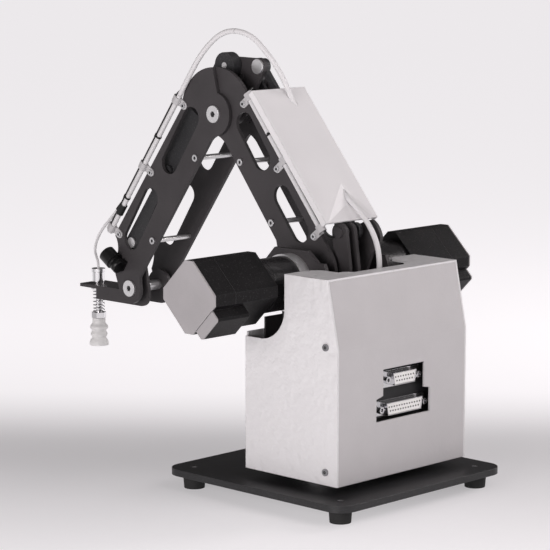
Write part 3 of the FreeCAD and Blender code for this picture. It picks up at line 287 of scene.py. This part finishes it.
M = {
    "base_black": mat("base_black", (.020, .020, .021), .46, grain=1900, bump=.55, depth=.00012, var=.25, speck=.35, speck_col=(.10, .10, .105), edge_highlight=(.16, .16, .165), edge_highlight_amt=.9, bevel=.0006),
    "rubber_black": mat("rubber_black", (.016, .016, .016), .78, grain=1500, bump=.5, depth=.0001, var=.3, bevel=.0006),
    "screw_steel": mat("screw_steel", (.80, .80, .81), .28, metal=1, grain=5000, bump=.05, var=.05, bevel=.00025),
    "screw_black": mat("screw_black", (.30, .30, .31), .30, metal=.9, grain=4000, var=.2, bevel=.00025),
    "bearing_steel": mat("bearing_steel", (.55, .55, .56), .3, metal=1, grain=1500, stretch=(1, 1, 12), bump=.2, var=.1),
    "plate_black": mat("plate_black", (.058, .054, .056), .44, grain=3600, bump=.35, depth=.00005, var=.14, spec=.24, edge_highlight=(.17, .165, .165), edge_highlight_amt=.5, bevel=.00022),
    "motor_black": mat("motor_black", (.008, .0075, .008), .42, grain=1100, bump=.8, depth=.0002, var=.3, speck=.5, speck_col=(.05, .048, .05), spec=.16, edge_highlight=(.13, .13, .135), edge_highlight_amt=.6, bevel=.0007),
    "gearbox_black": mat("gearbox_black", (.018, .017, .018), .26, grain=3000, bump=.12, var=.2, coat=.3, coat_rough=.15, edge_highlight=(.1, .1, .1), bevel=.0005),
    "panel_white": mat("panel_white", (.80, .795, .80), .34, grain=2600, bump=.3, depth=.00008, var=.012, rvar=.05, peel=1.0, peel_scale=150, edge_highlight=(.95, .95, .95), edge_highlight_amt=.5, bevel=.0007),
    "rear_white": mat("rear_white", (.57, .555, .56), .42, grain=2200, bump=.45, depth=.0001, var=.03, rvar=.05, peel=.25, peel_scale=420, edge_highlight=(.85, .85, .85), edge_highlight_amt=.5, bevel=.0008),
    "chrome_trim": mat("chrome_trim", (.72, .72, .73), .10, metal=1, grain=2500, bump=.05, var=.05, rvar=.04, bevel=.0003),
    "socket_cream": mat("socket_cream", (.93, .92, .90), .45, grain=2600, bump=.2, var=.05, bevel=.0002),
    "socket_black": mat("socket_black", (.014, .014, .015), .5, grain=2600, bump=.3, var=.2, bevel=.0003),
    "ring_silver": mat("ring_silver", (.93, .93, .935), .34, metal=.85, grain=3000, bump=.04, var=.03, rvar=.04, bevel=.0004),
    "motor_end": mat("motor_end", (.41, .395, .40), .42, grain=2400, bump=.35, depth=.00006, var=.08, spec=.5, edge_highlight=(.5, .5, .5), edge_highlight_amt=.6, bevel=.0007),
    "clip_grey": mat("clip_grey", (.56, .555, .56), .34, grain=2600, bump=.08, var=.03, bevel=.0003),
    "tube_white": mat("tube_white", (.76, .755, .76), .36, grain=900, bump=.01, var=.02, spec=.35, coat=.15, coat_rough=.2),
    "hose_white": mat("hose_white", (.76, .755, .76), .45, grain=900, bump=.01, var=.025, spec=.22),
    "cover_white": mat("cover_white", (.86, .85, .855), .40, grain=2600, bump=.25, depth=.00006, var=.02, peel=.12, peel_scale=500, edge_highlight=(.9, .9, .9), edge_highlight_amt=.4, bevel=.0006),
    "link_black": mat("link_black", (.030, .030, .032), .44, grain=1700, bump=.55, depth=.00014, var=.22, speck=.4, speck_col=(.13, .13, .13), edge_highlight=(.15, .15, .15), bevel=.0005),
    "knob_black": mat("knob_black", (.007, .007, .007), .36, grain=2200, bump=.25, var=.25, bevel=.0004),
    "cup_white": mat("cup_white", (.83, .83, .82), .42, grain=1800, bump=.2, depth=.00005, var=.03, sub=.25, spec=.4, bevel=.0004),
    "cable_black": mat("cable_black", (.014, .014, .014), .44, grain=1600, bump=.3, var=.25, bevel=.0002),
}
for s in frame["record"]["subparts"]:
    o = N[s["node"]]
    o.data.materials.clear()
    o.data.materials.append(M[s["material_slot"]])


def give(o, m, body=None, slot=None, *nodes):
    o.data.materials.append(M[m])
    if body:
        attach(o, body)
    if nodes:
        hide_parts(*nodes)
    return o


give(hose_a, "hose_white")
give(hose_b, "hose_white")
give(hose_c, "hose_white")
give(hose_d, "hose_white")
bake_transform(hose_a)
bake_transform(hose_b)
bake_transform(hose_c)
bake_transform(hose_d)
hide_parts("elbow_hose")
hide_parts("cover_hose")
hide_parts("wrist_hose")

# ---------------------------------------------------------------- coil spring round the stem
zs0, zs1, tx = 0.10162, 0.12082, 0.2632029
turns, wire, rs = 7.0, 0.00045, 0.0044
pts = []
for i in range(int(turns * 28) + 1):
    t = i / (turns * 28)
    s = t * t * (3 - 2 * t) * 0.25 + t * 0.75
    a = 2 * math.pi * turns * t
    pts.append(Vector((tx + rs * math.cos(a), rs * math.sin(a), zs0 + wire + s * (zs1 - zs0 - 2 * wire))))
spring = tube_mesh("coil_spring", rings_along(pts, wire, 10))
give(spring, "chrome_trim", "wrist", "chrome_trim", "stem_spring")
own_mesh(spring)


def lathe(name, prof, centre, n=72, axis="Z"):
    """Closed body turned from a closed profile of (r, z) points."""
    bm = bmesh.new()
    rows = []
    for r, z in prof:
        if axis == "Z":
            rows.append([bm.verts.new(centre + Vector((r * math.cos(2 * math.pi * i / n), r * math.sin(2 * math.pi * i / n), z))) for i in range(n)])
    m_ = len(rows)
    for j in range(m_):
        for i in range(n):
            bm.faces.new((rows[j][i], rows[j][(i + 1) % n], rows[(j + 1) % m_][(i + 1) % n], rows[(j + 1) % m_][i]))
    bmesh.ops.recalc_face_normals(bm, faces=bm.faces)
    me = bpy.data.meshes.new(name)
    bm.to_mesh(me)
    bm.free()
    for f in me.polygons:
        f.use_smooth = True
    return link(bpy.data.objects.new(name, me))


def rounded(prof, steps=5, keep=()):
    """A softer closed profile: each corner cut back by a curve."""
    out = []
    q = len(prof)
    for i in range(q):
        a, b, c = (Vector((*prof[(i + d) % q], 0)) for d in (-1, 0, 1))
        cut = min((b - a).length, (c - b).length) * 0.42
        if i in keep:
            cut = min(cut, 0.25)
        p0, p1 = b + (a - b).normalized() * cut, b + (c - b).normalized() * cut
        for s in range(steps + 1):
            t = s / steps
            p = (1 - t) ** 2 * p0 + 2 * t * (1 - t) * b + t * t * p1
            out.append((p.x, p.y))
    return out


# ---------------------------------------------------------------- bellows cup
prof = [(1.2, 22.4), (5.3, 22.4), (5.4, 17.9), (7.3, 15.6), (7.5, 14.2), (5.6, 11.9), (6.9, 9.7), (7.0, 8.5), (5.5, 6.4), (7.6, 3.4), (7.9, 0.0),
        (7.1, 0.0), (6.8, 3.0), (4.4, 6.2), (6.0, 9.0), (4.4, 11.6), (6.3, 14.7), (4.0, 17.4), (1.2, 18.4)]
cup = lathe("bellows_cup", [(r / 1000, z / 1000) for r, z in rounded(prof, 5, (0, 1, 10, 11))], Vector((tx, 0, 0.0744246)))
give(cup, "cup_white", "tool", "cup_white", "suction_cup")


# ---------------------------------------------------------------- cable beside each clipped tube, with ties
def strip_line(fn, a, b, nfn, y, hook0, hook1):
    base = [fn(x, nfn(x) + 0.00295, y) for x in [a + (b - a) * i / 24.0 for i in range(25)]]
    return hook0 + base + hook1


nu = lambda x: 0.0357 + (x - 0.022) * 1.4 / 114.0
nf = lambda x: 0.0363 + (x - 0.017) * 4.6 / 129.2
up_line = strip_line(u3, 0.017, 0.138, nu, 0.0195, [], [])
fo_line = strip_line(f3, 0.0115, 0.1455, nf, 0.0229, [], [])


def smooth_ends(pts, d0, d1):
    """Turns each end of a run inward with a short curve."""
    t0 = (pts[0] - pts[1]).normalized()
    t1 = (pts[-1] - pts[-2]).normalized()
    pre, post = [], []
    for s in range(1, 9):
        q = s / 8.0
        pre.append(pts[0] + t0 * (0.006 * math.sin(q * 1.45)) + d0 * (0.006 * (1 - math.cos(q * 1.45))))
        post.append(pts[-1] + t1 * (0.006 * math.sin(q * 1.45)) + d1 * (0.006 * (1 - math.cos(q * 1.45))))
    return list(reversed(pre)) + pts + post


inw = Vector((0, -1, 0))
cab_u = tube_mesh("cable_upper_arm", rings_along(smooth_ends(up_line, inw, inw), 0.0009, 14))
cab_f = tube_mesh("cable_forearm", rings_along(smooth_ends(fo_line, inw, inw), 0.0009, 14))
give(cab_u, "cable_black", "upper_arm", "knob_black")
give(cab_f, "cable_black", "forearm", "knob_black")


def tie(name, fn, x, nfn, y, body):
    """Small strap round the tube and the cable, with its lock on the outside."""
    bm = bmesh.new()
    n0 = nfn(x)
    outer, inner = [], []
    for i in range(40):
        a = 2 * math.pi * i / 40
        c = n0 if math.cos(a) < 0 else n0 + 0.00295
        r = 0.0021 if math.cos(a) < 0 else 0.0010
        rr = r + 0.0003
        outer.append((c + rr * math.cos(a), y + rr * math.sin(a)))
        inner.append((c + r * math.cos(a), y + r * math.sin(a)))
    rows = []
    for prof_, xs in ((outer, x - 0.0008), (outer, x + 0.0008), (inner, x + 0.0008), (inner, x - 0.0008)):
        rows.append([bm.verts.new(fn(xs, n_, y_)) for n_, y_ in prof_])
    for j in range(4):
        for i in range(40):
            bm.faces.new((rows[j][i], rows[j][(i + 1) % 40], rows[(j + 1) % 4][(i + 1) % 40], rows[(j + 1) % 4][i]))
    # lock
    hw = [(x - 0.0010, x + 0.0010), (n0 + 0.0006, n0 + 0.0022), (y + 0.0019, y + 0.0030)]
    c8 = [bm.verts.new(fn(hw[0][a], hw[1][b], hw[2][c])) for a in (0, 1) for b in (0, 1) for c in (0, 1)]
    for q in ((0, 1, 3, 2), (4, 6, 7, 5), (0, 4, 5, 1), (2, 3, 7, 6), (0, 2, 6, 4), (1, 5, 7, 3)):
        bm.faces.new([c8[i] for i in q])
    bmesh.ops.recalc_face_normals(bm, faces=bm.faces)
    me = bpy.data.meshes.new(name)
    bm.to_mesh(me)
    bm.free()
    o = link(bpy.data.objects.new(name, me))
    bv = o.modifiers.new("bevel", "BEVEL")
    bv.width, bv.segments, bv.limit_method = 0.00012, 2, "ANGLE"
    give(o, "cable_black", body, "knob_black")
    return o


tie("tie_forearm_upper", f3, 0.050, nf, 0.0229, "forearm")
tie("tie_forearm_lower", f3, 0.112, nf, 0.0229, "forearm")
tie("tie_upper_arm", u3, 0.104, nu, 0.0195, "upper_arm")

# ---------------------------------------------------------------- knurled adjuster on the forearm
def turned_on_forearm(name, stations, n, ridges, centre_x, y, body):
    """Body turned about an axis across the forearm strip: stations of (height along, radius, ridge depth)."""
    bm = bmesh.new()
    rows = []
    for h, r, d in stations:
        row = []
        for i in range(n):
            a = 2 * math.pi * i / n
            rr = r - d * (0.5 - 0.5 * math.cos(ridges * a))
            row.append(bm.verts.new(f3(centre_x + rr * math.cos(a), h, y + rr * math.sin(a))))
        rows.append(row)
    for j in range(len(rows) - 1):
        for i in range(n):
            bm.faces.new((rows[j][i], rows[j][(i + 1) % n], rows[j + 1][(i + 1) % n], rows[j + 1][i]))
    bm.faces.new(rows[0])
    bm.faces.new(rows[-1])
    bmesh.ops.recalc_face_normals(bm, faces=bm.faces)
    me = bpy.data.meshes.new(name)
    bm.to_mesh(me)
    bm.free()
    for f in me.polygons:
        f.use_smooth = len(f.vertices) == 4
    o = link(bpy.data.objects.new(name, me))
    return o


kn = turned_on_forearm("knurled_adjuster", [(.0130, .0050, 0), (.0134, .0056, 0), (.0181, .0056, 0), (.0185, .0050, 0), (.0188, .0040, 0), (.0203, .0040, 0), (.0205, .0058, 0),
                                            (.0209, .0066, .0004), (.0216, .0067, .0009), (.0226, .0067, .0010), (.0228, .0061, .0003), (.0233, .0061, .0003), (.0235, .0067, .0010), (.0262, .0067, .0010), (.0264, .0061, .0003), (.0269, .0061, .0003), (.0271, .0067, .0010),
                                            (.0298, .0067, .0010), (.0305, .0064, .0006), (.0310, .0057, 0), (.0311, .0040, 0), (.0306, .0034, 0)], 264, 22, 0.161, 0.0278, "forearm")
give(kn, "knob_black", "forearm", "knob_black")

# ---------------------------------------------------------------- painted shade: black hex discs standing in for the shade inside each hex socket
def painted_socket_shade(name, spots, body, n=6):
    """Thin black hexagonal discs with a small cone in the middle, one in each socket, painting the shade inside the
    recess: (centre, axis, radius).
    """
    bm = bmesh.new()
    for c, ax, r in spots:
        c, ax = Vector(c), Vector(ax).normalized()
        e1 = ax.orthogonal().normalized()
        e2 = ax.cross(e1)
        def ring(q, h):
            return [bm.verts.new(c + ax * h + q * (math.cos(2 * math.pi * i / n) * e1 + math.sin(2 * math.pi * i / n) * e2)) for i in range(n)]
        low, top, mid = ring(r, -0.0001), ring(r, 0.0001), ring(r * 0.72, 0.00002)
        tip = bm.verts.new(c - ax * 0.00006)
        bm.faces.new(low)
        for a_, b_ in ((low, top), (top, mid)):
            for i in range(n):
                bm.faces.new((a_[i], a_[(i + 1) % n], b_[(i + 1) % n], b_[i]))
        for i in range(n):
            bm.faces.new((mid[i], mid[(i + 1) % n], tip))
    bmesh.ops.recalc_face_normals(bm, faces=bm.faces)
    me = bpy.data.meshes.new(name)
    bm.to_mesh(me)
    bm.free()
    o = link(bpy.data.objects.new(name, me))
    # painted shade: the discs take the black socket material to stand in for the shade in each recess
    return give(o, "socket_black", body, "socket_black")


UF, FF = 0.0176, 0.021
ylift = Vector((0, 1, 0))
E_, W_ = Vector((.106367, 0, .2734531)), Vector((.2022029, 0, .1300246))
fs, us = [], []
for sgn in (1, -1):
    fs.append((E_ + Vector((0, sgn * (FF + .0004), 0)), (0, sgn, 0), .0026))
    for x, n_ in ((.0399, -.0026), (.1236, -.0002)):
        fs.append((f3(x, n_, sgn * (FF + .0009)), (0, sgn, 0), .00135))
    for x, n_ in ((.1066, -.0024), (.0527, -.0042)):
        us.append((u3(x, n_, sgn * (UF + .0009)), (0, sgn, 0), .00135))
for x, n_ in ((.014, .0292), (.0797, .0304), (.1435, .0324)):
    fs.append((f3(x, n_, FF + .0018), (0, 1, 0), .0012))
for x, n_ in ((.1382, .0284), (.0802, .0266), (.0202, .0262)):
    us.append((u3(x, n_, UF + .0018), (0, 1, 0), .0012))
painted_socket_shade("forearm_socket_shade", fs, "forearm")
painted_socket_shade("upper_arm_socket_shade", us, "upper_arm")
# painted shade: black discs in the contact holes of the D-sub inserts
lo_i, hi_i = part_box("socket_inserts")
holes = []
for yc, zc, n_top in ((-.0046, .0701, 13), (-.0045, .0913, 8)):
    for row, cnt in ((.00142, n_top), (-.00142, n_top - 1)):
        for i in range(cnt):
            holes.append(((lo_i.x - .00002, yc + (i - (cnt - 1) / 2) * .00277, zc + row), (-1, 0, 0), .00062))
painted_socket_shade("contact_hole_shade", holes, "turret", 14)
lo_p, hi_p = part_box("panel_screws")
ps = []
for z in (.1217, .0320):
    ps.append(((-.056, hi_p.y + .00003, z), (0, 1, 0), .00125))
    ps.append(((-.056, lo_p.y - .00003, z), (0, -1, 0), .00125))
painted_socket_shade("panel_screw_socket_shade", ps, "turret")
painted_socket_shade("wrist_socket_shade", [(W_ + Vector((0, s_ * (FF + .0003), 0)), (0, s_, 0), .0024) for s_ in (1, -1)], "wrist")

# ---------------------------------------------------------------- stage and light
def floor():
    bm = bmesh.new()
    n, half = 40, 14.0
    g = [[bm.verts.new(((i / n * 2 - 1) ** 3 * half, (j / n * 2 - 1) ** 3 * half, 0.0)) for j in range(n + 1)] for i in range(n + 1)]
    for i in range(n):
        for j in range(n):
            bm.faces.new((g[i][j], g[i + 1][j], g[i + 1][j + 1], g[i][j + 1]))
    me = bpy.data.meshes.new("floor")
    bm.to_mesh(me)
    bm.free()
    o = link(bpy.data.objects.new("floor", me))
    m = mat("floor", (.46, .455, .46), .7, grain=900, bump=.02, var=.004, spec=.12, bevel=.0)
    nt = m.node_tree
    # painted light: the floor glows by emission from this ramp along a fixed world direction, bright near and far with
    # a painted band of shade between
    tc = nt.nodes.new("ShaderNodeTexCoord")
    mp = nt.nodes.new("ShaderNodeMapping")
    mp.vector_type = "TEXTURE"
    mp.inputs["Rotation"].default_value = (0, 0, rad(-45.7))
    sp = nt.nodes.new("ShaderNodeSeparateXYZ")
    mr = nt.nodes.new("ShaderNodeMapRange")
    mr.inputs["From Min"].default_value, mr.inputs["From Max"].default_value = -0.3, 0.7
    cr = nt.nodes.new("ShaderNodeValToRGB")
    cr.color_ramp.interpolation = "B_SPLINE"
    e = cr.color_ramp.elements
    for pos, val in FLOOR_GLOW_AND_SHADE_RAMP[1:-1]:
        e.new(pos)
    for q, (pos, val) in zip(e, FLOOR_GLOW_AND_SHADE_RAMP):
        q.position, q.color = pos, (val, val * .970, val * .992, 1)
    nt.links.new(tc.outputs["Object"], mp.inputs["Vector"])
    nt.links.new(mp.outputs["Vector"], sp.inputs["Vector"])
    nt.links.new(sp.outputs["X"], mr.inputs["Value"])
    nt.links.new(mr.outputs["Result"], cr.inputs["Fac"])
    bs = nt.nodes["Principled BSDF"]
    nt.links.new(cr.outputs["Color"], bs.inputs["Emission Color"])
    bs.inputs["Emission Strength"].default_value = 1.0
    o.data.materials.append(m)


# painted light and shade: floor emission values along the ramp; the dip to .28 is a painted band of shade
FLOOR_GLOW_AND_SHADE_RAMP = [(0.0, .72), (.15, .58), (.33, .34), (.46, .28), (.56, .58), (.66, .74), (1.0, .80)]
floor()
w = bpy.data.worlds.new("studio")
scene.world = w
w.use_nodes = True
w.node_tree.nodes["Background"].inputs["Color"].default_value = (1.0, .95, .965, 1)
w.node_tree.nodes["Background"].inputs["Strength"].default_value = 0.10


def area(name, loc, aim, size, power, size_y=None, col=(1, .945, .957)):
    l = bpy.data.lights.new(name, "AREA")
    l.shape = "RECTANGLE"
    l.size, l.size_y = size, size_y or size
    l.energy = power
    l.color = col
    o = link(bpy.data.objects.new(name, l))
    o.location = loc
    o.rotation_euler = (Vector(loc) - Vector(aim)).to_track_quat("Z", "Y").to_euler()
    return o


aim = (0.03, 0.02, 0.14)
area("key", (-0.45, 2.05, 0.34), aim, 1.3, 30)
area("rear_fill", (-1.75, -0.25, 1.35), aim, 1.2, 14)
area("top", (-0.5, -0.9, 2.2), aim, 1.2, 1.5)
area("right_kick", (-0.35, -1.1, 0.55), (0.01, -0.11, 0.16), 0.45, 5.0)
